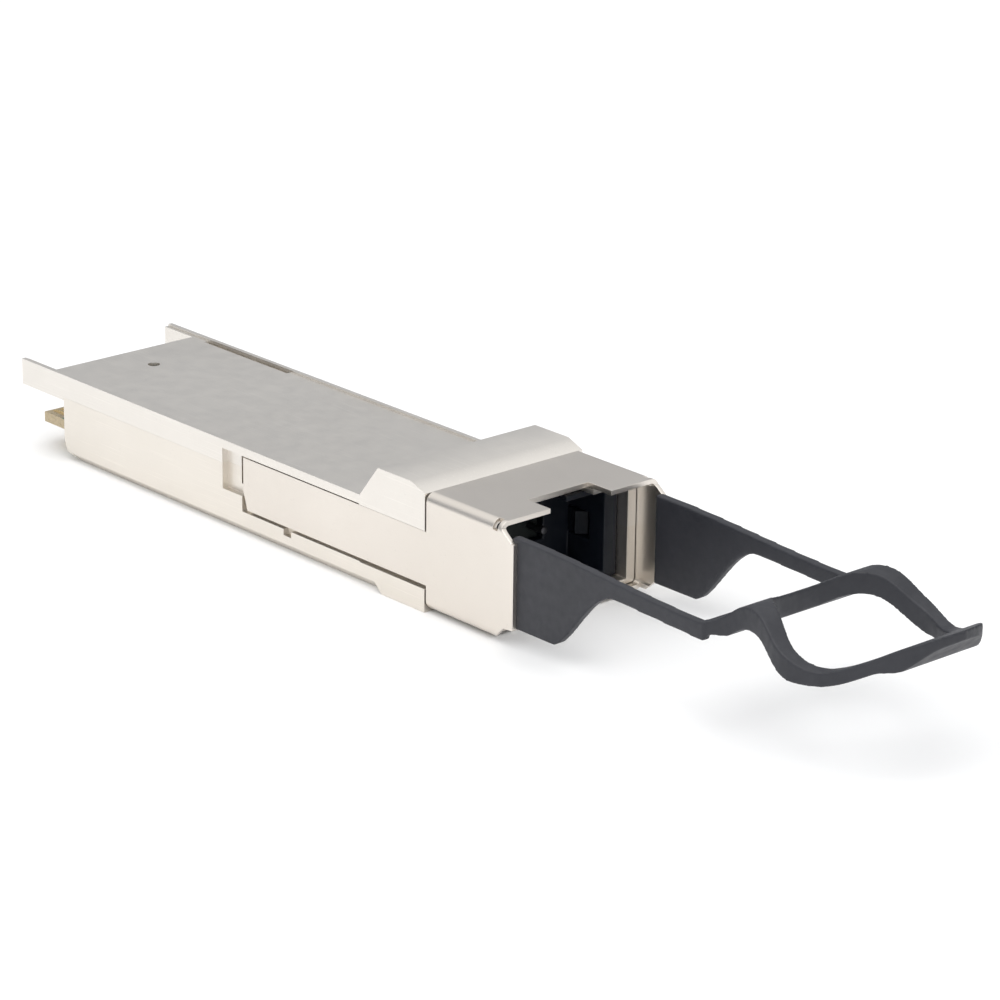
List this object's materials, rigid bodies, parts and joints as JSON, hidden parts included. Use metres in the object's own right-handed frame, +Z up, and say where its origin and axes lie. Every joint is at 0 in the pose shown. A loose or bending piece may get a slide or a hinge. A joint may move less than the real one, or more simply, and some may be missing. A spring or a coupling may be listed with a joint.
{
  "type": "optical transceiver module",
  "caption": "Pluggable fibre-optic transceiver with a metal body, an exposed card edge, a push-on multi-fibre port and a pull-tab release loop.",
  "frame": {"origin": "Middle of the body's bottom face, half-way between the nose and the rear ears.", "axes": "+Z up; -Y is the front, where the fibre port and the pull tab are; +Y is the rear, where the card edge is; X is the width, and the part is symmetric about X = 0 but for one small groove."},
  "size_m": [0.0186, 0.1158, 0.0127],
  "materials": {
    "brushed_nickel_cover": "nickel-plated die casting, satin",
    "nickel_tray": "nickel-plated die casting, satin",
    "screw_steel": "plain steel screw",
    "gasket_foam": "conductive foam",
    "board_laminate": "green solder mask over fibreglass",
    "contact_gold": "gold plating",
    "driver_package": "moulded chip package",
    "receiver_package": "moulded chip package",
    "controller_package": "moulded chip package",
    "regulator_package": "moulded chip package",
    "capacitor_ceramic": "ceramic body with tinned ends",
    "laser_die": "bare laser die",
    "photodiode_die": "bare photodiode die",
    "lens_resin": "amber moulded optical resin",
    "ribbon_coating": "acrylate-coated fibre ribbon",
    "ferrule_resin": "filled thermoset resin",
    "pin_steel": "ground stainless steel",
    "keeper_steel": "stamped stainless steel",
    "receptacle_plastic": "black moulded plastic",
    "latch_plastic": "black moulded plastic",
    "thermal_silicone": "soft silicone pad",
    "slider_sheet": "nickel-plated spring steel, satin",
    "tab_elastomer": "charcoal overmoulded elastomer, satin",
    "spring_steel": "drawn spring wire"
  },
  "bodies": {
    "housing": {"top_cover": "brushed_nickel_cover", "bottom_tray": "nickel_tray", "cover_screws": "screw_steel", "emi_gasket": "gasket_foam", "main_board": "board_laminate", "card_contacts": "contact_gold", "laser_driver_chip": "driver_package", "receiver_chip": "receiver_package", "microcontroller": "controller_package", "power_regulator": "regulator_package", "chip_capacitors": "capacitor_ceramic", "laser_array": "laser_die", "photodiode_array": "photodiode_die", "lens_block": "lens_resin", "fibre_ribbon": "ribbon_coating", "mt_ferrule": "ferrule_resin", "guide_pins": "pin_steel", "pin_keeper": "keeper_steel", "port_receptacle": "receptacle_plastic", "port_latches": "latch_plastic", "thermal_pads": "thermal_silicone", "return_springs": "spring_steel"},
    "release": {"release_slider": "slider_sheet", "pull_tab": "tab_elastomer"}
  },
  "joints": [
    {"name": "release_slide", "type": "slide", "parent": "housing", "child": "release", "axis": [0, -1, 0], "range_m": [0, 0.0018], "stiffness_N_per_m": 400, "springref_m": -0.003, "deforming": ["return_springs"]}
  ]
}
